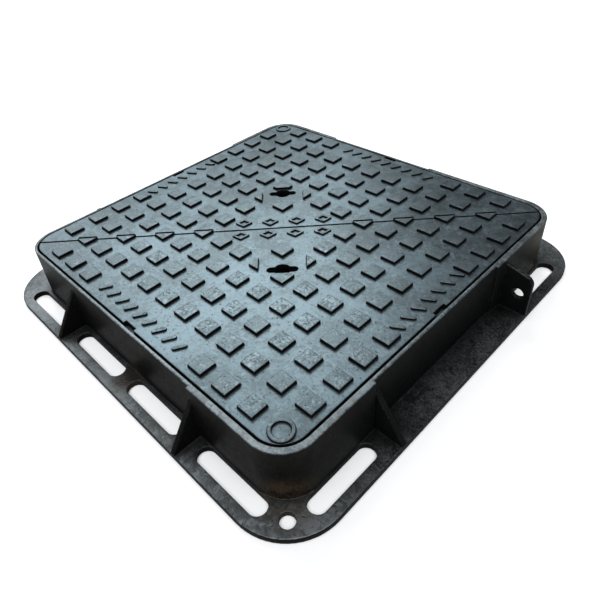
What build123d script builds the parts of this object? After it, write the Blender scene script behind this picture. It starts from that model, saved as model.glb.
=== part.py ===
from build123d import *

import os
from math import cos, radians, sin, sqrt

# Square double-triangle access cover in its frame, ductile iron, millimetres.
#
# The frame's bed flange lies on z = 0 and the sides run along X and Y, centred on the origin.
# Two identical triangular covers meet on the diagonal from the -X -Y corner to the +X +Y corner.
# Link bolts under the diagonal tie the covers loosely, so that each one sits on its own three seats.

os.makedirs("parts", exist_ok=True)

far = 500.0                  # beyond every part
bite = 2.0                   # how far joined features run into each other

# ---- frame ----
clear_opening = 600.0        # the hole that a person goes through
opening_corner = 30.0        # corner radius of that hole
aperture = 648.0             # the square that holds the covers
aperture_corner = 44.0
frame_height = 104.0         # bed to rim
thin_wall = 5.0              # rim and wall along the sides
thick_wall = 9.0             # rim and wall round the dressed corners
foot_wall = 5.0              # the wall's extra thickness under the seat ledge
flange_side = 756.0
flange_corner = 88.0
flange_thick = 10.0
ledge_top = 54.0             # the seats of the covers
ledge_thick = 9.0
# the wall is thick inside these rectangles: low x, low y, high x, high y
dressed_corners = (
    (160.0, -far, far, -168.0),
    (78.0, 130.0, far, far),
    (-far, 168.0, -163.0, far),
)

# ---- bed flange openings ----
slot_width = 27.0
slot_line = 348.0            # centre of every slot, from the middle of the frame
outer_slot = (247.0, 126.0)  # centre along the side, overall length
inner_slot = (78.0, 128.0)
side_slot = (250.0, 120.0)
corner_hole_place = 336.0    # both ways from the middle
corner_hole = 21.0

# ---- gussets ----
gusset_place = 163.0         # along each side, from its middle
gusset_thick = 8.0
gusset_top = 86.0
lug_top = 93.0
lug_shoulder = 80.0
lug_radius = 16.0
lug_hole = 18.0
lug_hole_place = (359.0, 47.0)   # out from the middle, up from the bed
haunch_thick = 8.0
haunch_foot = 315.0          # the haunches' inner edge near the bed, from the middle
haunch_nose = 5.0            # their depth at the clear opening

# ---- covers ----
gap = 3.0                    # between cover and frame, and between the two covers
plate_thick = 10.0
skirt_thick = 8.0
skirt_bottom = 58.0
seat_clearance = 0.3
seat_reach = 62.0            # the seats lie within this distance of each corner
seat_width = 12.0
rib_thick = 7.0
rib_pitch = 74.1
rib_lines = (-3, -2, -1, 0, 1, 2, 3)    # in rib pitches from the middle, both ways
shallow_rib_bottom = 62.0    # over the ledge
deep_rib_bottom = 40.0       # inside the clear opening
deep_rib_square = 572.0
notch_length = 26.0
notch_depth = 5.0
notch_shift = 6.0            # the pry notches are a little off the middle of the sides

# ---- tread ----
pitch = 49.4
chequer = 28.0
chequer_height = 5.0
mark_height = 3.0
cells = 13                   # chequers along each side, counted from the -X -Y corner
blank_cells = {(1, 1), (13, 13), (6, 6), (7, 6), (7, 7), (8, 7), (8, 8)}
marked_cells = {(5, 1), (6, 1), (7, 1), (8, 1), (9, 1), (13, 6), (13, 7), (13, 8), (13, 1)}
cut_cells = {(8, 5), (9, 6)}
cut_leg = 23.0               # what is left of a cut chequer, a right-angled triangle
bar_length = 22.0
bar_width = 6.0
bar_pitch = pitch / 2
bars_each_way = 4            # from the middle one
lozenge_long = 30.0
lozenge_wide = 24.0
lozenge_line = 5.0
lozenge_places = (-72.0, -25.0, 22.0, 69.0)    # along the split
lozenge_from_split = 19.5
corner_ring = 34.0
corner_ring_line = 5.0

# ---- keyhole and its pocket ----
key_place = 84.0             # from the middle, +X and -Y
key_slot = (50.0, 13.0)
key_eye = 27.0
key_land = (44.0, 28.0)      # no tread within this rectangle, which cuts the chequer beside it
pocket_long = 58.0
pocket_wide = 32.0
pocket_wall = 5.0
pocket_floor = 51.0

# ---- link bolts ----
bolt_places = {"left": -157.0, "right": 157.0}     # along the split, between two ribs
bolt_height = 66.0
bolt_diameter = 12.0
bolt_hole = 16.0
split_rib_thick = 8.0
washer_thick = 2.5
washer_outer = 24.0
washer_bore = 12.1
head_flats = 18.0
head_thick = 7.5
head_chamfer = 1.0
nut_thick = 10.0
nut_slack = 1.0              # the nuts stop short, so that the covers stay loose
bolt_tail = 3.0

cover_side = aperture - 2 * gap
cover_corner = aperture_corner - gap
plate_bottom = frame_height - plate_thick
ledge_bottom = ledge_top - ledge_thick
wall_out = aperture / 2 + thin_wall
thick_out = aperture / 2 + thick_wall


def half_plane(inset):
    """The region on the +X -Y side of the split, inset from it, kept in the sketch."""
    shift = inset * sqrt(2)
    Polygon((shift - far, -far), (far, -far), (far, far - shift), align=None, mode=Mode.INTERSECT)


def side_plane(angle, along):
    """An upright plane square to one side: its x points outwards, its y up."""
    outward = Vector(cos(radians(angle)), sin(radians(angle)), 0)
    sideways = Vector(-sin(radians(angle)), cos(radians(angle)), 0)
    return Plane(origin=sideways * along, x_dir=outward, z_dir=-sideways)


def cell_centre(column, row):
    middle = (cells + 1) / 2
    return ((column - middle) * pitch, (row - middle) * pitch)


# ------------------------------------------------------------------ frame
with BuildPart() as frame:
    with BuildSketch():
        RectangleRounded(flange_side, flange_side, flange_corner)
        RectangleRounded(aperture - 2 * foot_wall, aperture - 2 * foot_wall, aperture_corner - foot_wall,
                         mode=Mode.SUBTRACT)
    extrude(amount=flange_thick)
    with BuildSketch():
        RectangleRounded(2 * wall_out, 2 * wall_out, aperture_corner + thin_wall)
        RectangleRounded(aperture, aperture, aperture_corner, mode=Mode.SUBTRACT)
    extrude(amount=frame_height)
    for low_x, low_y, high_x, high_y in dressed_corners:
        with BuildSketch():
            RectangleRounded(2 * thick_out, 2 * thick_out, aperture_corner + thick_wall)
            RectangleRounded(aperture, aperture, aperture_corner, mode=Mode.SUBTRACT)
            Polygon((low_x, low_y), (high_x, low_y), (high_x, high_y), (low_x, high_y),
                    align=None, mode=Mode.INTERSECT)
        extrude(amount=frame_height)
    # the heavier foot of the wall, and the ledge that it carries
    with BuildSketch():
        RectangleRounded(aperture + bite, aperture + bite, aperture_corner + bite / 2)
        RectangleRounded(aperture - 2 * foot_wall, aperture - 2 * foot_wall, aperture_corner - foot_wall,
                         mode=Mode.SUBTRACT)
    extrude(amount=ledge_top)
    with BuildSketch(Plane.XY.offset(ledge_bottom)):
        RectangleRounded(aperture + bite, aperture + bite, aperture_corner + bite / 2)
        RectangleRounded(clear_opening, clear_opening, opening_corner, mode=Mode.SUBTRACT)
    extrude(amount=ledge_thick)
    # haunches under the ledge
    for angle in (0, 90, 180, 270):
        for along in (-gusset_place, 0, gusset_place):
            with BuildSketch(side_plane(angle, along)):
                Polygon((clear_opening / 2 + bite, ledge_bottom + bite),
                        (clear_opening / 2 + bite, ledge_bottom - haunch_nose),
                        (haunch_foot, bite),
                        (aperture / 2, bite),
                        (aperture / 2, ledge_bottom + bite), align=None)
            extrude(amount=haunch_thick / 2, both=True)
    # triangular gussets outside, and the two lug gussets with their sling holes
    root = wall_out - bite
    for angle, lug_along in ((0, gusset_place), (90, None), (180, gusset_place), (270, None)):
        for along in (-gusset_place, gusset_place):
            with BuildSketch(side_plane(angle, along)):
                if along == lug_along:
                    Polygon((root, bite), (flange_side / 2, bite), (flange_side / 2, lug_shoulder),
                            (wall_out, lug_top), (root, lug_top), align=None)
                else:
                    Polygon((root, bite), (flange_side / 2, bite), (flange_side / 2, flange_thick + bite),
                            (wall_out, gusset_top), (root, gusset_top), align=None)
            extrude(amount=gusset_thick / 2, both=True)
    for angle in (0, 180):
        side = side_plane(angle, gusset_place)
        shoulder = side.from_local_coords(Vector(flange_side / 2, lug_shoulder, 0))
        fillet(frame.edges().filter_by(Axis.Y).sort_by_distance(shoulder)[0], lug_radius)
        with BuildSketch(side):
            with Locations(lug_hole_place):
                Circle(lug_hole / 2)
        extrude(amount=gusset_thick, both=True, mode=Mode.SUBTRACT)
    # slots and corner holes through the flange
    with BuildSketch():
        for place, length in (outer_slot, inner_slot):
            with GridLocations(2 * place, 2 * slot_line, 2, 2):
                SlotOverall(length, slot_width)
        with GridLocations(2 * slot_line, 2 * side_slot[0], 2, 2):
            SlotOverall(side_slot[1], slot_width, rotation=90)
        with Locations((corner_hole_place, -corner_hole_place), (-corner_hole_place, corner_hole_place)):
            Circle(corner_hole / 2)
    extrude(amount=flange_thick, mode=Mode.SUBTRACT)

frame.part.label = "frame"
export_step(frame.part, "parts/frame.step")


# ------------------------------------------------------------------ triangular covers
def tread_marks():
    """Plain raised marks that stand in for the casting's lettering."""
    for step in range(-bars_each_way, bars_each_way + 1):
        with Locations((step * bar_pitch, cell_centre(7, 1)[1])):
            SlotOverall(bar_length, bar_width, rotation=60)
        with Locations((cell_centre(13, 7)[0], step * bar_pitch)):
            SlotOverall(bar_length, bar_width, rotation=30)
    for along in lozenge_places:
        with Locations(((along + lozenge_from_split) / sqrt(2), (along - lozenge_from_split) / sqrt(2))):
            for scale, mode in ((1, Mode.ADD), (1 - 2 * lozenge_line / lozenge_wide, Mode.SUBTRACT)):
                length = lozenge_long * scale / 2
                width = lozenge_wide * scale / 2
                Polygon((length, 0), (0, width), (-length, 0), (0, -width), rotation=45, mode=mode)
    with Locations(cell_centre(13, 1)):
        Circle(corner_ring / 2)
        Circle(corner_ring / 2 - corner_ring_line, mode=Mode.SUBTRACT)


def triangular_cover(turn):
    """One cover, in the +X -Y half of the opening turned by this angle."""
    base = Plane.XY.rotated((0, 0, turn))
    reach = cover_side / 2 - cover_corner
    inner = cover_side - 2 * skirt_thick
    with BuildPart() as cover:
        with BuildSketch(base.offset(plate_bottom)):
            RectangleRounded(cover_side, cover_side, cover_corner)
            half_plane(gap / 2)
            # pry notches in the middle of the two straight sides
            with Locations((notch_shift, -cover_side / 2)):
                Rectangle(notch_length, 2 * notch_depth, mode=Mode.SUBTRACT)
            with Locations((cover_side / 2, -notch_shift)):
                Rectangle(2 * notch_depth, notch_length, mode=Mode.SUBTRACT)
        extrude(amount=plate_thick)
        # skirt round the straight sides
        with BuildSketch(base.offset(skirt_bottom)):
            RectangleRounded(cover_side, cover_side, cover_corner)
            RectangleRounded(inner, inner, cover_corner - skirt_thick, mode=Mode.SUBTRACT)
            half_plane(gap / 2)
        extrude(amount=plate_bottom - skirt_bottom)
        # three seats, one in each corner of the triangle
        with BuildSketch(base.offset(ledge_top + seat_clearance)):
            with Locations((reach, -reach), (reach, reach), (-reach, -reach)):
                Circle(seat_reach)
            RectangleRounded(cover_side, cover_side, cover_corner, mode=Mode.INTERSECT)
            RectangleRounded(cover_side - 2 * seat_width, cover_side - 2 * seat_width,
                             cover_corner - seat_width, mode=Mode.SUBTRACT)
            half_plane(gap / 2)
        extrude(amount=skirt_bottom - ledge_top - seat_clearance)
        # rib grid: shallow over the ledge, deep inside the clear opening
        for square, bottom in ((inner, shallow_rib_bottom), (deep_rib_square, deep_rib_bottom)):
            with BuildSketch(base.offset(bottom)):
                for place in rib_lines:
                    with Locations((0, place * rib_pitch)):
                        Rectangle(cover_side, rib_thick)
                    with Locations((place * rib_pitch, 0)):
                        Rectangle(rib_thick, cover_side)
                RectangleRounded(square, square, opening_corner, mode=Mode.INTERSECT)
                half_plane(gap / 2 + bite)
            extrude(amount=plate_bottom - bottom)
            with BuildSketch(base.offset(bottom)):
                with Locations(Location((0, 0, 0), (0, 0, 45))):
                    with Locations((0, -(gap + split_rib_thick) / 2)):
                        Rectangle(2 * far, split_rib_thick)
                RectangleRounded(square, square, opening_corner, mode=Mode.INTERSECT)
            extrude(amount=plate_bottom - bottom)
        # key pocket
        with BuildSketch(base.offset(pocket_floor - pocket_wall)):
            with Locations((key_place, -key_place)):
                Rectangle(pocket_long + 2 * pocket_wall, pocket_wide + 2 * pocket_wall, rotation=45)
        extrude(amount=plate_bottom - pocket_floor + pocket_wall)
        with BuildSketch(base.offset(pocket_floor)):
            with Locations((key_place, -key_place)):
                Rectangle(pocket_long, pocket_wide, rotation=45)
        extrude(amount=plate_bottom - pocket_floor, mode=Mode.SUBTRACT)
        # chequers, those on the split shared with the other cover
        with BuildSketch(base.offset(frame_height)):
            for column in range(1, cells + 1):
                for row in range(1, column + 1):
                    if (column, row) in blank_cells | marked_cells | cut_cells:
                        continue
                    with Locations(cell_centre(column, row)):
                        Rectangle(chequer, chequer)
            for (column, row), sign in (((8, 5), 1), ((9, 6), -1)):
                x, y = cell_centre(column, row)
                corner_x = x - sign * chequer / 2
                corner_y = y - sign * chequer / 2
                Polygon((corner_x, corner_y), (corner_x + sign * cut_leg, corner_y),
                        (corner_x, corner_y + sign * cut_leg), align=None)
            with Locations((key_place, -key_place)):
                Rectangle(*key_land, rotation=45, mode=Mode.SUBTRACT)
            half_plane(gap / 2)
        extrude(amount=chequer_height)
        with BuildSketch(base.offset(frame_height)):
            tread_marks()
        extrude(amount=mark_height)
        # keyhole, through the plate into the pocket
        with BuildSketch(base.offset(plate_bottom)):
            with Locations((key_place, -key_place)):
                SlotOverall(*key_slot, rotation=45)
                Circle(key_eye / 2)
        extrude(amount=plate_thick, mode=Mode.SUBTRACT)
        # holes for the link bolts
        for along in bolt_places.values():
            with BuildSketch(bolt_plane(along, turn)):
                Circle(bolt_hole / 2)
            extrude(amount=gap + 2 * split_rib_thick, both=True, mode=Mode.SUBTRACT)
    return cover


def bolt_plane(along, turn=0):
    """A plane in the split, square to a link bolt, whose z points into the front cover."""
    centre = Vector(along / sqrt(2), along / sqrt(2), bolt_height).rotate(Axis.Z, turn)
    into = Vector(1, -1, 0).rotate(Axis.Z, turn)
    return Plane(origin=centre, x_dir=Vector(0, 0, 1), z_dir=into)


front_cover = triangular_cover(0)
front_cover.part.label = "front_cover"
export_step(front_cover.part, "parts/front_cover.step")

rear_cover = triangular_cover(180)
rear_cover.part.label = "rear_cover"
export_step(rear_cover.part, "parts/rear_cover.step")

# ------------------------------------------------------------------ link bolts, washers and lock nuts
rib_face = gap / 2 + split_rib_thick
head_face = rib_face + washer_thick
nut_washer_face = rib_face + nut_slack
nut_face = nut_washer_face + washer_thick

for side, along in bolt_places.items():
    middle = bolt_plane(along)
    with BuildPart() as link_bolt:
        with BuildSketch(middle.offset(-(nut_face + nut_thick + bolt_tail))):
            Circle(bolt_diameter / 2)
        extrude(amount=nut_face + nut_thick + bolt_tail + head_face)
        with BuildSketch(middle.offset(head_face)):
            RegularPolygon(head_flats / 2, 6, major_radius=False)
        extrude(amount=head_thick)
        chamfer(link_bolt.faces().sort_by(Axis((0, 0, 0), (1, -1, 0)))[-1].edges(), head_chamfer)
    link_bolt.part.label = f"link_bolt_{side}"
    export_step(link_bolt.part, f"parts/link_bolt_{side}.step")

    for name, face in (("head_washer", rib_face), ("nut_washer", -nut_washer_face - washer_thick)):
        with BuildPart() as washer:
            with BuildSketch(middle.offset(face)):
                Circle(washer_outer / 2)
                Circle(washer_bore / 2, mode=Mode.SUBTRACT)
            extrude(amount=washer_thick)
        washer.part.label = f"{name}_{side}"
        export_step(washer.part, f"parts/{name}_{side}.step")

    with BuildPart() as lock_nut:
        with BuildSketch(middle.offset(-nut_face - nut_thick)):
            RegularPolygon(head_flats / 2, 6, major_radius=False)
            Circle(washer_bore / 2, mode=Mode.SUBTRACT)
        extrude(amount=nut_thick)
    lock_nut.part.label = f"lock_nut_{side}"
    export_step(lock_nut.part, f"parts/lock_nut_{side}.step")
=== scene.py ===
# %% [markdown]
# # A cast iron manhole cover
# The object is a square access cover for a road: a deep iron frame with a bed flange round its
# foot, and two triangular covers that meet on a diagonal. The engineering model of every piece is
# already packed, so this notebook loads it as a fixed frame and dresses it: it rounds the cast
# edges, stamps the tread and paints the iron. All lengths are in metres.

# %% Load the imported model
from math import cos, pi, radians, sin, sqrt

import bmesh
import bpy
from mathutils import Matrix, Vector


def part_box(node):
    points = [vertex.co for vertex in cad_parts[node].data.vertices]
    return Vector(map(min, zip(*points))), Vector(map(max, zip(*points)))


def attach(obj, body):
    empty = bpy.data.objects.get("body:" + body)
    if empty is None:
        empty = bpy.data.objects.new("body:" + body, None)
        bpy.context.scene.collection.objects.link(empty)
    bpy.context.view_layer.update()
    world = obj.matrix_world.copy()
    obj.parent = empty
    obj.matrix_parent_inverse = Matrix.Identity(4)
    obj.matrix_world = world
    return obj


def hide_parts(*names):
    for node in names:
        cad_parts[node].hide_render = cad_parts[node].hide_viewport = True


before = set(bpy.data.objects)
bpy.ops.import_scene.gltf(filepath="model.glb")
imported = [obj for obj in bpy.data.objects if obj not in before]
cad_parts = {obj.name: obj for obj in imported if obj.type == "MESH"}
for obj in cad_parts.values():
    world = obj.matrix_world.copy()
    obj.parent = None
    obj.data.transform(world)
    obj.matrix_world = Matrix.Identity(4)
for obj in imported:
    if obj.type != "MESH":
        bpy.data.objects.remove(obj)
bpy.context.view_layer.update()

scene = bpy.context.scene
print("nodes:", sorted(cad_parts))

# %% [markdown]
# ## The camera
# The viewpoint is worked out first, because it decides how much detail each surface needs. A
# camera needs a place, a direction, a roll about its own line of sight and a focal length. The
# place is given as an angle round the object, a height angle and a distance from an aim point.

# %% Camera
AIM = Vector((0.0359, -0.0528, 0.060))
AROUND, ABOVE, ROLL = radians(49.26), radians(37.90), radians(-5.92)
DISTANCE = 0.9297
sight = Vector((-sin(AROUND) * cos(ABOVE), cos(AROUND) * cos(ABOVE), -sin(ABOVE)))
level_right = sight.cross(Vector((0, 0, 1))).normalized()
level_up = level_right.cross(sight)
right = level_right * cos(ROLL) + level_up * sin(ROLL)
up = level_up * cos(ROLL) - level_right * sin(ROLL)

camera_data = bpy.data.cameras.new("viewpoint")
camera_data.sensor_width = 36.0
camera_data.lens = 32.57
camera_data.shift_x = 0.0375
camera_data.shift_y = -0.0503
camera_data.clip_start = 0.01
camera = bpy.data.objects.new("viewpoint", camera_data)
turned_to_sight = Matrix((right, up, -sight)).transposed().to_4x4()
camera.matrix_world = Matrix.Translation(AIM - sight * DISTANCE) @ turned_to_sight
scene.collection.objects.link(camera)
scene.camera = camera
print("camera at", [round(c, 3) for c in camera.location])

# %% [markdown]
# ## Sizes that are used more than once
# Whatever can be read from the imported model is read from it: the tops of the plate and of the
# chequers. The sizes of the tread's marks are the pattern-maker's own and stand with the tread.

# %% Sizes
MM = 0.001
PLATE_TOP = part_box("frame")[1].z
TREAD_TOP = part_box("front_cover")[1].z
print("plate top", round(PLATE_TOP, 4), "tread top", round(TREAD_TOP, 4))

# %% [markdown]
# ## Shader maths as plain expressions
# A node material is a graph, and long graphs are hard to read in a script. The small class below
# wraps one output socket, so that `a * 0.5 + b` adds the Math nodes that it needs. Everything
# else comes from one method, `node`, which takes a node's type, its settings and its inputs.

# %% A wire through the shader graph
class Wire:
    """One value in a material's node graph."""

    def __init__(self, paint, socket):
        self.paint, self.socket = paint, socket

    def maths(self, operation, first, second):
        return self.paint.node("ShaderNodeMath", {"operation": operation}, {0: first, 1: second})

    def __add__(self, other): return self.maths("ADD", self, other)
    def __radd__(self, other): return self.maths("ADD", other, self)
    def __sub__(self, other): return self.maths("SUBTRACT", self, other)
    def __rsub__(self, other): return self.maths("SUBTRACT", other, self)
    def __mul__(self, other): return self.maths("MULTIPLY", self, other)
    def __rmul__(self, other): return self.maths("MULTIPLY", other, self)

    def ramp(self, low, high):
        """0 below low, 1 above high, smooth between them."""
        return self.paint.node("ShaderNodeMapRange",
                               {"interpolation_type": "SMOOTHSTEP", "clamp": True},
                               {"Value": self, "From Min": low, "From Max": high})


class Paint:
    """One material under construction."""

    def __init__(self, name):
        self.material = bpy.data.materials.new(name)
        self.material.use_nodes = True
        self.tree = self.material.node_tree
        self.tree.nodes.clear()

    def node(self, kind, settings=None, inputs=None, output=0):
        """Adds a node, makes its settings, and wires or fills its inputs."""
        made = self.tree.nodes.new(kind)
        for key, value in (settings or {}).items():
            setattr(made, key, value)
        for key, value in (inputs or {}).items():
            if isinstance(value, Wire):
                self.tree.links.new(value.socket, made.inputs[key])
            else:
                made.inputs[key].default_value = value
        return Wire(self, made.outputs[output])

    def noise(self, place, scale, detail, roughness=0.55, distortion=0.0):
        return self.node("ShaderNodeTexNoise", {},
                         {"Vector": place, "Scale": scale, "Detail": detail,
                          "Roughness": roughness, "Distortion": distortion})

    def mix(self, factor, first, second):
        """Blends two colours, which are inputs 6 and 7 and output 2 of a Mix node."""
        return self.node("ShaderNodeMix", {"data_type": "RGBA", "clamp_factor": True},
                         {0: factor, 6: first, 7: second}, output=2)

    def finish(self, inputs):
        """Ends the graph in one Principled surface."""
        surface = self.node("ShaderNodeBsdfPrincipled", {}, inputs)
        out = self.tree.nodes.new("ShaderNodeOutputMaterial")
        self.tree.links.new(surface.socket, out.inputs["Surface"])
        return self.material


def rgb(red, green, blue):
    """A solid colour, as sockets take it."""
    return (red, green, blue, 1.0)


# %% [markdown]
# ## Cast iron under bitumen paint
# A foundry dips its castings in thin black bitumen paint. The paint follows the sand grain of the
# casting, pools a little, and goes dull and grey where feet and wheels rub it. Five scales of noise
# make this, from clouds as wide as a hand down to the sand grain. Worn edges are found with a Bevel
# node, which bends the normal near an edge, and painted shade in the corners with an Ambient
# Occlusion node. What faces up has a graphite sheen, so it is partly metallic; the walls are nearly
# black, and so is all that is steeper, which is partly painted shade.

# %% Paint for the castings
def spot(paint, place, centre, radius, blur):
    """1 inside a ball round this place, 0 outside it; centre and sizes in millimetres."""
    away = paint.node("ShaderNodeVectorMath", {"operation": "DISTANCE"},
                      {0: place, 1: [c * MM for c in centre]}, output="Value")
    return 1 - away.ramp((radius - blur) * MM, (radius + blur) * MM)


# noise scales: the larger the number, the smaller the patches
HAND, THUMB, CRUST, PINHOLE, CRUMB, SAND = 9, 42, 110, 230, 330, 1100
SHADE_BLACK, PIT = rgb(0.003, 0.003, 0.004), rgb(0.012, 0.014, 0.015)
SCUFF, SMUDGE = rgb(0.042, 0.049, 0.052), rgb(0.040, 0.048, 0.052)
WALL_DUST = 60 * MM        # how far down the walls the dust reaches
EDGE_WEAR = 1.8 * MM       # how wide a worn edge is
CONTACT = 3.8 * MM         # how far the painted shade reaches out of a corner
SHELTER = 60 * MM          # how far the painted shade reaches from the foot of a wall


def cast_iron(name, black, dust, bloom, warm, bare, rough, grain, sheen, shine,
              tarnish=(), rim_wear=0.0, wall_foot_shade=0.0):
    """Black walls, dustier near their tops, and a dull graphite bloom on what faces up; the black of
    all that is steeper is partly painted shade.
    """
    paint = Paint(name)
    place = paint.node("ShaderNodeTexCoord", output="Object")
    along, across, height = [paint.node("ShaderNodeSeparateXYZ", {}, {"Vector": place}, output=axis)
                             for axis in "XYZ"]
    normal = paint.node("ShaderNodeNewGeometry", output="Normal")
    facing = paint.node("ShaderNodeSeparateXYZ", {}, {"Vector": normal}, output="Z")
    upward = facing.ramp(0.74, 0.96)

    clouds = paint.noise(place, HAND, 3.0)
    blotches = paint.noise(place, THUMB, 5.0, 0.62, 0.6)
    smears = paint.noise(place, CRUST, 4.0, 0.65, 1.2)
    speckle = paint.noise(place, CRUMB, 3.0, 0.7)
    grit = paint.noise(place, SAND, 2.0, 0.6)

    # the bloom on what faces up: pale patches, dark smudges, and scuffs on the tops of the chequers
    tone = (clouds * 0.3 + blotches * 0.35 + smears * 0.2 + speckle * 0.15).ramp(0.39, 0.59)
    top_colour = paint.mix(tone, warm, bloom)
    pale = (blotches * 0.4 + smears * 0.6).ramp(0.54, 0.66)
    top_colour = paint.mix(pale * 0.45, top_colour, bare)
    smudge = (clouds * 0.4 + smears * 0.6).ramp(0.52, 0.44)
    top_colour = paint.mix(smudge * 0.4, top_colour, SMUDGE)
    raised = height.ramp(PLATE_TOP + 2.2 * MM, PLATE_TOP + 2.9 * MM)
    fine = smears * 0.5 + speckle * 0.5
    scuffed = raised * clouds.ramp(0.40, 0.55) * fine.ramp(0.52, 0.57)
    polished = raised * fine.ramp(0.47, 0.42)
    top_colour = paint.mix(raised * 0.2 + scuffed * 0.55, top_colour, SCUFF)
    top_colour = paint.mix(polished * 0.5, top_colour, bare)

    # the walls, with dust near their tops, then the stains and the patch of painted shade
    near_top = height.ramp(PLATE_TOP - WALL_DUST, PLATE_TOP)
    wall = paint.mix(near_top * (blotches * 0.6 + smears * 0.4).ramp(0.3, 0.6), black, dust)
    # what faces up takes the pale colour and all that is steeper takes the black: partly dust and
    # wear on top, partly painted shade on the sides and rounded edges
    colour = paint.mix(upward, wall, top_colour)
    ragged = (blotches * 0.5 + speckle * 0.5).ramp(0.35, 0.62)
    # each patch is a stain, except the frame's wide +X one, which is painted shade
    for centre, radius, blur, stain, strength in tarnish:
        patch = spot(paint, place, centre, radius, blur) * ragged
        colour = paint.mix(patch * strength, colour, stain)

    # worn edges, and the worn rim, which is lighter towards the +X -Y corner and darker towards the
    # -X +Y corner
    eased = paint.node("ShaderNodeBevel", {"samples": 6}, {"Radius": EDGE_WEAR})
    agree = paint.node("ShaderNodeVectorMath", {"operation": "DOT_PRODUCT"}, {0: eased, 1: normal},
                       output="Value")
    open_to_air = paint.node("ShaderNodeAmbientOcclusion", {"samples": 8}, {"Distance": CONTACT},
                             output="AO")
    turned = (1 - agree).ramp(0.01, 0.10)
    edge = turned * open_to_air.ramp(0.55, 0.85)
    chipped = (blotches * 0.3 + smears * 0.4 + speckle * 0.3).ramp(0.46, 0.60)
    rim_side_ramp = (along - across).ramp(-0.45, 0.10) * 0.75 + 0.25
    rim_band = height.ramp(PLATE_TOP - 2.5 * MM, PLATE_TOP - 0.8 * MM) * rim_wear
    rim = rim_band * rim_side_ramp * (0.25 + chipped * 0.75) * (1 - turned * 0.6)
    rim_darker_side = rim_band * (1 - rim_side_ramp)
    colour = paint.mix(rim_darker_side, colour, dust)
    worn = edge * chipped * 0.3 + rim
    colour = paint.mix(worn, colour, bare)

    # painted shade in the corners and beside the walls, and pinholes
    corners = 1 - open_to_air.ramp(0.42, 0.84)
    if wall_foot_shade:
        # painted shade: what faces up goes black near the foot of a wall
        under_cover = paint.node("ShaderNodeAmbientOcclusion", {"samples": 6},
                                 {"Distance": SHELTER}, output="AO")
        colour = paint.mix((1 - under_cover.ramp(0.50, 0.85)) * upward * wall_foot_shade, colour, black)
    # painted shade: the corners and the feet of the chequers go nearly black
    colour = paint.mix(corners * 0.95, colour, SHADE_BLACK)
    pits = paint.noise(place, PINHOLE, 2.0, 0.5).ramp(0.635, 0.69)
    colour = paint.mix(pits * 0.6, colour, PIT)

    relief = grit * 0.25 + speckle * 0.5 + smears * 0.4 + blotches * 0.4
    relief = relief + scuffed * 0.5 - pits * 0.5
    bumpy = paint.node("ShaderNodeBump", {},
                       {"Height": relief, "Strength": grain, "Distance": 0.6 * MM, "Normal": eased})
    gloss = rough + (blotches - 0.5) * 0.25 + (smears - 0.5) * 0.25 + worn * 0.1 + corners * 0.3
    graphite = upward * sheen * (1 - corners) * (1 - worn * 0.4) * (1 - rim_darker_side)
    return paint.finish({"Base Color": colour, "Roughness": gloss, "Normal": bumpy,
                             "Metallic": graphite, "Specular IOR Level": shine})


cover_paint = cast_iron(
    "bitumen_on_cover",
    black=rgb(0.003, 0.0035, 0.004),
    dust=rgb(0.006, 0.0065, 0.007),
    bloom=rgb(0.092, 0.122, 0.140),
    warm=rgb(0.060, 0.077, 0.085),
    bare=rgb(0.15, 0.18, 0.195),
    rough=0.37, grain=0.40, sheen=0.86, shine=0.02)

# stains, and one patch of painted shade over the +X side: centre, radius and blur in millimetres,
# colour, strength
RUST, BROWN = rgb(0.10, 0.035, 0.028), rgb(0.050, 0.036, 0.024)
TAN, PLUS_X_SHADE = rgb(0.085, 0.075, 0.055), rgb(0.006, 0.007, 0.007)
stains_and_shade = (((-330, -318, 84), 26, 18, RUST, 0.7), ((0, -350, 10), 24, 14, BROWN, 0.9),
          ((0, 350, 10), 24, 14, BROWN, 0.9), ((318, -318, 12), 34, 20, BROWN, 0.8),
          ((-318, 318, 12), 34, 20, BROWN, 0.8), ((334, 300, 88), 62, 40, TAN, 0.75),
          # painted shade: a wide dark patch over the +X side of the frame
          ((430, 20, 0), 290, 75, PLUS_X_SHADE, 0.95))
frame_paint = cast_iron(
    "bitumen_on_frame",
    black=rgb(0.004, 0.004, 0.0038),
    dust=rgb(0.011, 0.0107, 0.0100),
    bloom=rgb(0.150, 0.163, 0.172),
    warm=rgb(0.070, 0.073, 0.075),
    bare=rgb(0.19, 0.235, 0.26),
    rough=0.42, grain=0.6, sheen=0.8, shine=0.012, tarnish=stains_and_shade, rim_wear=0.6, wall_foot_shade=0.85)

# %% [markdown]
# ## Zinc-plated fasteners
# The link bolts, washers and lock nuts are dull zinc. Zinc has a fine crystalline spangle, so a
# cell texture shifts its grey a little from cell to cell.

# %% Zinc
SPANGLE, TARNISH = 700, 160    # texture scales


def zinc(name):
    """Bare metal whose grey shifts from cell to cell, with a thin dark tarnish."""
    paint = Paint(name)
    place = paint.node("ShaderNodeTexCoord", output="Object")
    cells = paint.node("ShaderNodeTexVoronoi", {"feature": "F1"},
                       {"Vector": place, "Scale": SPANGLE}, output="Color")
    grey = paint.node("ShaderNodeSeparateColor", {}, {"Color": cells})
    stain = paint.noise(place, TARNISH, 4.0)
    colour = paint.mix(grey, rgb(0.42, 0.43, 0.44), rgb(0.62, 0.63, 0.65))
    colour = paint.mix(stain.ramp(0.55, 0.75) * 0.6, colour, rgb(0.22, 0.20, 0.18))
    bumpy = paint.node("ShaderNodeBump", {},
                       {"Height": stain, "Strength": 0.2, "Distance": 0.2 * MM})
    return paint.finish({"Base Color": colour, "Roughness": 0.34 + stain * 0.2, "Metallic": 1.0,
                         "Normal": bumpy})


zinc_plate = zinc("dull_zinc")

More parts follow.
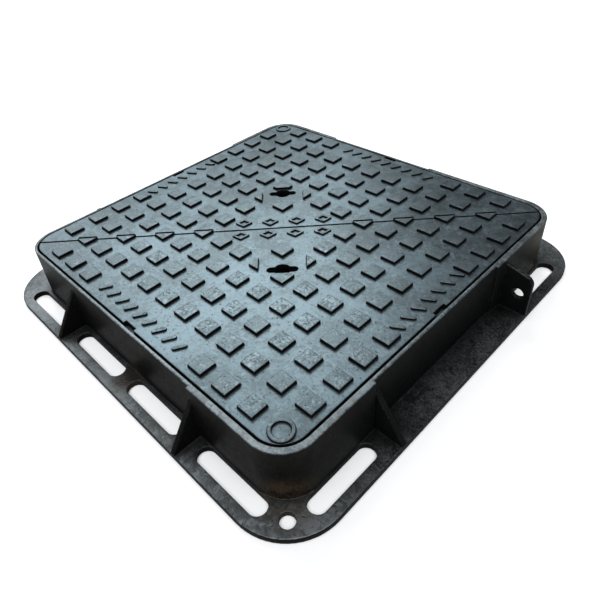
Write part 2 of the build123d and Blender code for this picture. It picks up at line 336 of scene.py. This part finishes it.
# %% [markdown]
# ## Rounded castings
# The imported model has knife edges, but sand moulds leave every edge of a casting a little round.
# Each casting is copied, its loose triangles are merged and flattened back into whole faces, and a
# Bevel modifier rounds every edge sharper than its angle limit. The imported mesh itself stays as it
# is and is replaced by the copy.

# %% Helpers for the castings
WELD = 0.002 * MM          # vertices nearer than this are one
CUT_BELOW = 0.05 * MM      # how far below the plate's top the covers are cut


def new_object(name, mesh):
    made = bpy.data.objects.new(name, mesh)
    scene.collection.objects.link(made)
    return made


def baked(made):
    """Swaps an object's modifiers for the mesh that they make."""
    graph = bpy.context.evaluated_depsgraph_get()
    made.data = bpy.data.meshes.new_from_object(made.evaluated_get(graph))
    made.modifiers.clear()
    return made


def report(name, work):
    """Prints the number of faces, and of open edges: a casting should have none."""
    open_edges = sum(not edge.is_manifold for edge in work.edges)
    print(name, len(work.faces), "faces,", open_edges, "open edges")


def cut_lines(work, planes):
    """Cuts faces along each plane and marks the cuts as seams: no face then wraps round a hole."""
    for place, across in planes:
        place, across = Vector(place), Vector(across)
        bmesh.ops.bisect_plane(work, geom=work.verts[:] + work.edges[:] + work.faces[:],
                               plane_co=place, plane_no=across, dist=WELD / 2)
        for edge in work.edges:
            if all(abs((vertex.co - place).dot(across)) < 1.5 * WELD for vertex in edge.verts):
                edge.seam = True


def casting_copy(node, name, planes, cut_at=None):
    """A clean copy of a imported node's mesh, cut off level at cut_at if that is given."""
    work = bmesh.new()
    work.from_mesh(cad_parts[node].data)
    bmesh.ops.remove_doubles(work, verts=work.verts, dist=WELD)
    if cut_at is not None:
        # the cut runs just below the plate's top; its vertices then go up to it
        cut = bmesh.ops.bisect_plane(work, geom=work.verts[:] + work.edges[:] + work.faces[:],
                                     plane_co=(0, 0, cut_at - CUT_BELOW), plane_no=(0, 0, 1),
                                     clear_outer=True)
        rim = [g for g in cut["geom_cut"] if isinstance(g, bmesh.types.BMEdge)]
        bmesh.ops.triangle_fill(work, edges=rim, use_beauty=True, normal=(0, 0, 1))
        for vertex in work.verts:
            if vertex.co.z > cut_at - 1.2 * CUT_BELOW:
                vertex.co.z = cut_at
    for edge in work.edges:
        edge.seam = False
    cut_lines(work, planes)
    bmesh.ops.dissolve_limit(work, angle_limit=radians(0.6), verts=work.verts, edges=work.edges,
                             delimit={"SEAM"})
    bmesh.ops.recalc_face_normals(work, faces=work.faces)
    for edge in work.edges:
        edge.seam = False
    mesh = bpy.data.meshes.new(name)
    work.to_mesh(mesh)
    report(name, work)
    work.free()
    return new_object(name, mesh)


def soften(made, width, paint):
    """Rounds the sharp edges, keeps the flats flat in the shading, and paints the piece."""
    rounding = made.modifiers.new("cast edges", "BEVEL")
    rounding.width = width
    rounding.segments = 2
    rounding.angle_limit = radians(32)
    rounding.use_clamp_overlap = False
    flats = made.modifiers.new("flat flats", "WEIGHTED_NORMAL")
    flats.weight = 100
    for polygon in made.data.polygons:
        polygon.use_smooth = True
    baked(made)
    made.data.materials.clear()
    made.data.materials.append(paint)
    for polygon in made.data.polygons:
        polygon.material_index = 0


def upright(axis, *places):
    """Upright planes across x or y, at these places on both sides of the middle, in millimetres."""
    across = Vector((1, 0, 0)) if axis == "x" else Vector((0, 1, 0))
    return [(across * place * sign * MM, across) for place in places for sign in (-1, 1)]


def level(*heights):
    """Level planes at these heights in millimetres."""
    return [((0, 0, height * MM), (0, 0, 1)) for height in heights]


# %% [markdown]
# ## The frame
# The planes are cut through the middles of the slots, holes and gussets, so the flattened faces are
# simple ones that the Bevel modifier can work round. The copy then rides on the frame's own node,
# stands in for it, and says which material slot it fills.

# %% The frame
SLOTS_AND_GUSSETS = (0, 78, 120, 163, 200, 247, 290, 336, 348)
LUG_HOLE_OUT, LUG_HOLE_UP = 359, 47
MID_FLANGE, MID_WALL = 5, 70
FRAME_ROUNDING, COVER_ROUNDING = 0.9 * MM, 0.8 * MM
frame_lines = []
for axis in "xy":
    frame_lines += upright(axis, *SLOTS_AND_GUSSETS)
frame_lines += upright("x", LUG_HOLE_OUT) + level(LUG_HOLE_UP, MID_WALL, MID_FLANGE)
frame_casting = casting_copy("frame", "frame_casting", frame_lines)
soften(frame_casting, FRAME_ROUNDING, frame_paint)
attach(frame_casting, "frame")
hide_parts("frame")

# %% [markdown]
# ## The plates of the covers
# Each cover is cut off level at the plate's top, because its tread is made afresh further down.
# Here the planes run through the ribs, the cells between them, the link bolts and the keyholes.

# %% The plates of the covers
RIB_PITCH, KEYHOLE = 74.1, 84
ROOT_TWO = sqrt(2)
BOLT_X, BOLT_UP = 157 / ROOT_TWO, 66
cover_lines = level(BOLT_UP)
cover_lines += [((side * BOLT_X * MM, side * BOLT_X * MM, 0), (1, 1, 0)) for side in (1, -1)]
for axis in "xy":
    cover_lines += upright(axis, *[step * RIB_PITCH / 2 for step in range(9)], KEYHOLE)
for side in ("front", "rear"):
    cover = casting_copy(f"{side}_cover", f"{side}_cover_casting", cover_lines, cut_at=PLATE_TOP)
    soften(cover, COVER_ROUNDING, cover_paint)
    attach(cover, f"{side}_cover")
    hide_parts(f"{side}_cover")

# %% [markdown]
# ## The tread
# The raised chequers, and the small marks between them, repeat many times, so one node tree makes
# them all. It fills a closed outline, raises it with a slight draft, as a pattern needs to leave
# the sand, and sets a copy on every point of a small mesh of places. Each place has an attribute
# that says how far its mark is turned. A Bevel modifier then rounds the raised edges.

# %% A node tree that raises an outline at every place
SINK = 1.0 * MM            # how far a mark reaches into the plate, so that no gap shows


def raised_marks_tree():
    """The node tree: fill the outline, raise it, close it and set it on every place."""
    tree = bpy.data.node_groups.new("raised marks", "GeometryNodeTree")
    face = tree.interface
    face.new_socket("Geometry", in_out="INPUT", socket_type="NodeSocketGeometry")
    face.new_socket("Outline", in_out="INPUT", socket_type="NodeSocketObject")
    face.new_socket("Height", in_out="INPUT", socket_type="NodeSocketFloat")
    face.new_socket("Draft", in_out="INPUT", socket_type="NodeSocketFloat")
    face.new_socket("Material", in_out="INPUT", socket_type="NodeSocketMaterial")
    face.new_socket("Geometry", in_out="OUTPUT", socket_type="NodeSocketGeometry")

    def add(kind, settings=None, inputs=None):
        made = tree.nodes.new(kind)
        for key, value in (settings or {}).items():
            setattr(made, key, value)
        for key, value in (inputs or {}).items():
            if isinstance(value, bpy.types.NodeSocket):
                tree.links.new(value, made.inputs[key])
            else:
                made.inputs[key].default_value = value
        return made

    start = add("NodeGroupInput")
    outline = add("GeometryNodeObjectInfo", {"transform_space": "ORIGINAL"},
                  {"Object": start.outputs["Outline"]})
    filled = add("GeometryNodeFillCurve", {"mode": "TRIANGLES"},
                 {"Curve": outline.outputs["Geometry"]})
    lift = add("ShaderNodeMath", {"operation": "ADD"}, {0: start.outputs["Height"], 1: SINK})
    offset = add("ShaderNodeCombineXYZ", {}, {"Z": lift.outputs[0]})
    raised = add("GeometryNodeExtrudeMesh", {"mode": "FACES"},
                 {"Mesh": filled.outputs["Mesh"], "Offset": offset.outputs[0], "Individual": False})
    drafted = add("GeometryNodeScaleElements", {"domain": "FACE"},
                  {"Geometry": raised.outputs["Mesh"], "Selection": raised.outputs["Top"],
                   "Scale": start.outputs["Draft"]})
    base = add("GeometryNodeFlipFaces", {}, {"Mesh": filled.outputs["Mesh"]})
    closed = add("GeometryNodeJoinGeometry")
    tree.links.new(drafted.outputs["Geometry"], closed.inputs[0])
    tree.links.new(base.outputs["Mesh"], closed.inputs[0])
    merged = add("GeometryNodeMergeByDistance", {},
                 {"Geometry": closed.outputs[0], "Distance": WELD})
    turn = add("GeometryNodeInputNamedAttribute", {"data_type": "FLOAT"}, {"Name": "turn"})
    turning = add("ShaderNodeCombineXYZ", {}, {"Z": turn.outputs["Attribute"]})
    points = add("GeometryNodeMeshToPoints", {}, {"Mesh": start.outputs["Geometry"]})
    placed = add("GeometryNodeInstanceOnPoints", {},
                 {"Points": points.outputs[0], "Instance": merged.outputs[0],
                  "Rotation": turning.outputs[0]})
    real = add("GeometryNodeRealizeInstances", {}, {"Geometry": placed.outputs[0]})
    painted = add("GeometryNodeSetMaterial", {},
                  {"Geometry": real.outputs[0], "Material": start.outputs["Material"]})
    end = add("NodeGroupOutput")
    tree.links.new(painted.outputs[0], end.inputs[0])
    return tree


raised_marks = raised_marks_tree()


def outline_object(name, *loops):
    """A curve of closed straight-sided loops, in millimetres, that the node tree fills."""
    curve = bpy.data.curves.new(name, "CURVE")
    curve.dimensions = "2D"
    for loop in loops:
        spline = curve.splines.new("POLY")
        spline.points.add(len(loop) - 1)
        for point, (x, y) in zip(spline.points, loop):
            point.co = (x * MM, y * MM, 0, 1)
        spline.use_cyclic_u = True
    return new_object(name, curve)


def stamped(name, outline, places, height, draft, rounding):
    """Raises the outline at each place: x and y in millimetres and the turn in degrees."""
    mesh = bpy.data.meshes.new(name)
    mesh.from_pydata([(x * MM, y * MM, PLATE_TOP - SINK) for x, y, turn in places], [], [])
    turns = mesh.attributes.new("turn", "FLOAT", "POINT")
    turns.data.foreach_set("value", [radians(turn) for x, y, turn in places])
    made = new_object(name, mesh)
    marks = made.modifiers.new("raised marks", "NODES")
    marks.node_group = raised_marks
    chosen = {"Outline": outline, "Height": height * MM, "Draft": draft, "Material": cover_paint}
    for item in raised_marks.interface.items_tree:
        if item.in_out == "INPUT" and item.name in chosen:
            marks[item.identifier] = chosen[item.name]
    edges = made.modifiers.new("rounded edges", "BEVEL")
    edges.width = rounding * MM
    edges.segments = 2
    edges.angle_limit = radians(40)
    edges.use_clamp_overlap = False
    return baked(made)


# %% [markdown]
# ## Where the marks are
# The tread is a square grid of cells, counted from the -X -Y corner. The front cover has the cells
# on and below the split, and the rear cover has the same ones turned half round. Most cells hold a
# chequer. Some are blank, some hold a small mark, and round the keyhole three are cut short.

# %% Where the marks are
CELLS, MIDDLE = 13, 7
BLANK = {(1, 1), (13, 13), (6, 6), (7, 6), (7, 7), (8, 7), (8, 8)}
MARKED = {(5, 1), (6, 1), (7, 1), (8, 1), (9, 1), (13, 6), (13, 7), (13, 8), (13, 1)}
CUT = {(8, 5): 0, (9, 6): 180}    # each with its turn in degrees
KEYED, RINGED = (9, 5), (13, 1)
PITCH = 49.4               # from one cell to the next
HALF = 14.0                # half a chequer
CUT_LEG = 23.0             # what is left of a cut chequer
CUT_AWAY = 4.2             # where the keyhole's cut crosses the chequer beside it
CHEQUER_HEIGHT = (TREAD_TOP - PLATE_TOP) / MM
BARS_EACH_WAY = 4
LOZENGES, FROM_SPLIT = (-72, -25, 22, 69), 19.5    # along the split, and away from it


def cell(column, row):
    """The middle of a cell, in millimetres."""
    return ((column - MIDDLE) * PITCH, (row - MIDDLE) * PITCH)


whole, halves = [], []
for column in range(1, CELLS + 1):
    for row in range(1, column + 1):
        if (column, row) in BLANK | MARKED | set(CUT):
            continue
        (halves if column == row else whole).append((*cell(column, row), 0))
keyed = [(*cell(*KEYED), 0)]
whole.remove(keyed[0])
cuts = [(*cell(*place), turn) for place, turn in CUT.items()]
bar_steps = [step * PITCH / 2 for step in range(-BARS_EACH_WAY, BARS_EACH_WAY + 1)]
bars = [(step, cell(MIDDLE, 1)[1], 60) for step in bar_steps]
bars += [(cell(CELLS, MIDDLE)[0], step, 30) for step in bar_steps]
lozenges = [((along + FROM_SPLIT) / ROOT_TWO, (along - FROM_SPLIT) / ROOT_TWO, 45)
            for along in LOZENGES]
print(len(whole), "whole chequers,", len(halves), "half ones on the split")


# %% [markdown]
# ## The outlines
# An outline is a curve of closed loops with straight sides. When it is filled, a loop inside
# another one leaves a hole, which is how the lozenges and the ring come to be open.

# %% The outlines
def rounded_bar(length, width, steps=6):
    """A bar with round ends: half a circle about each end."""
    reach, radius = (length - width) / 2, width / 2
    ends = []
    for centre, start in ((reach, -0.5), (-reach, 0.5)):
        angles = [pi * (i / steps + start) for i in range(steps + 1)]
        ends += [(centre + radius * cos(angle), radius * sin(angle)) for angle in angles]
    return ends


def circle(radius, steps=40):
    return [(radius * cos(2 * pi * i / steps), radius * sin(2 * pi * i / steps))
            for i in range(steps)]


def diamond(length, width):
    return [(length / 2, 0), (0, width / 2), (-length / 2, 0), (0, -width / 2)]


square_outline = outline_object("square_outline",
                                [(-HALF, -HALF), (HALF, -HALF), (HALF, HALF), (-HALF, HALF)])
HALF_GAP = 1.5             # half the gap along the split
inset = HALF_GAP * ROOT_TWO
half_outline = outline_object("half_outline",
                              [(inset - HALF, -HALF), (HALF, -HALF), (HALF, HALF - inset)])
key_outline = outline_object("key_outline", [(-HALF, -HALF), (HALF, -HALF), (HALF, HALF),
                                             (CUT_AWAY, HALF), (-HALF, -CUT_AWAY)])
cut_outline = outline_object("cut_outline",
                             [(-HALF, -HALF), (CUT_LEG - HALF, -HALF), (-HALF, CUT_LEG - HALF)])
bar_outline = outline_object("bar_outline", rounded_bar(length=22, width=6))
LONG, WIDE, INNER_WIDE = 30, 24, 14
lozenge_outline = outline_object("lozenge_outline", diamond(LONG, WIDE),
                                 diamond(LONG * INNER_WIDE / WIDE, INNER_WIDE))
ring_outline = outline_object("ring_outline", circle(radius=17), circle(radius=12))

# %% [markdown]
# ## Stamp both covers
# Every pattern is stamped in its places, and the marks are gathered into one tread mesh for each
# cover. The outlines are only tools, so they are deleted at the end.

# %% Stamp both covers
# height, how much narrower the top is, and the rounding of the edges
CHEQUER = (CHEQUER_HEIGHT, 0.95, 0.7)
MARK = (3.0, 1.0, 0.6)
patterns = (
    ("chequers", square_outline, whole, *CHEQUER),
    ("half_chequers", half_outline, halves, *CHEQUER),
    ("cut_chequers", cut_outline, cuts, *CHEQUER),
    ("key_chequer", key_outline, keyed, *CHEQUER),
    ("bars", bar_outline, bars, *MARK),
    ("lozenges", lozenge_outline, lozenges, *MARK),
    ("ring", ring_outline, [(*cell(*RINGED), 0)], *MARK),
)
for side, sign, half_turn in (("front", 1, 0), ("rear", -1, 180)):
    tread = bmesh.new()
    for name, outline, places, height, draft, rounding in patterns:
        on_this_side = [(x * sign, y * sign, turn + half_turn) for x, y, turn in places]
        part = stamped(f"{side}_{name}", outline, on_this_side, height, draft, rounding)
        tread.from_mesh(part.data)
        bpy.data.objects.remove(part)
    mesh = bpy.data.meshes.new(f"{side}_cover_tread")
    tread.to_mesh(mesh)
    report(mesh.name, tread)
    tread.free()
    mesh.materials.append(cover_paint)
    made = new_object(f"{side}_cover_tread", mesh)
    for polygon in mesh.polygons:
        polygon.use_smooth = True
    flats = made.modifiers.new("flat flats", "WEIGHTED_NORMAL")
    flats.weight = 100
    baked(made)
    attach(made, f"{side}_cover")

for name, outline, *rest in patterns:
    bpy.data.objects.remove(outline)

# %% [markdown]
# ## The fasteners
# The bolts, washers and nuts are shown as they were packed, so they only need their material.

# %% The fasteners
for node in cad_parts.values():
    if "cover" not in node.name and node.name != "frame":
        node.data.materials.clear()
        node.data.materials.append(zinc_plate)

# %% [markdown]
# ## Floor and light
# A pale floor and soft lights. The large panel behind the object is what the iron reflects: it
# gives the tread its pale sheen, while the walls, which face the other way, stay dark.

# %% Studio
def plain(name, colour):
    paint = Paint(name)
    return paint.finish({"Base Color": colour, "Roughness": 0.9, "Specular IOR Level": 0.1})


REACH, JUST_BELOW = 60.0, -0.6 * MM
corners = [(-REACH, -REACH), (REACH, -REACH), (REACH, REACH), (-REACH, REACH)]
floor_mesh = bpy.data.meshes.new("floor")
floor_mesh.from_pydata([(x, y, JUST_BELOW) for x, y in corners], [], [(0, 1, 2, 3)])
floor = new_object("floor", floor_mesh)
floor.data.materials.append(plain("pale_floor", rgb(0.86, 0.87, 0.88)))


def panel(name, place, aim, size, power, colour=(1, 1, 1)):
    """A soft lamp at a place, turned to its aim."""
    data = bpy.data.lights.new(name, "AREA")
    data.shape = "RECTANGLE"
    data.size, data.size_y = size
    data.energy = power
    data.color = colour
    lamp = bpy.data.objects.new(name, data)
    turn = (Vector(place) - Vector(aim)).to_track_quat("Z", "Y")
    lamp.matrix_world = Matrix.Translation(place) @ turn.to_matrix().to_4x4()
    scene.collection.objects.link(lamp)


panel("sky panel", place=(-1.40, 0.97, 1.80), aim=(0, 0, 0.1), size=(1.6, 1.3), power=49,
      colour=(0.93, 0.98, 0.98))
panel("side sky", place=(-1.84, 0.10, 1.20), aim=(0, 0, 0.1), size=(0.6, 0.8), power=7,
      colour=(0.95, 0.98, 1.0))
panel("left panel", place=(-1.2, -2.0, 0.7), aim=(0, -0.2, 0.05), size=(1.0, 0.8), power=6)

sun = bpy.data.lights.new("overhead", "SUN")
sun.energy = 3.0
sun.angle = radians(50)
overhead = bpy.data.objects.new("overhead", sun)
overhead.rotation_euler = (radians(12), radians(12), 0)
scene.collection.objects.link(overhead)

world = bpy.data.worlds.new("studio")
world.use_nodes = True
background = world.node_tree.nodes["Background"]
background.inputs["Color"].default_value = rgb(1.0, 1.0, 1.0)
background.inputs["Strength"].default_value = 0.22
scene.world = world
scene.view_settings.view_transform = "Standard"
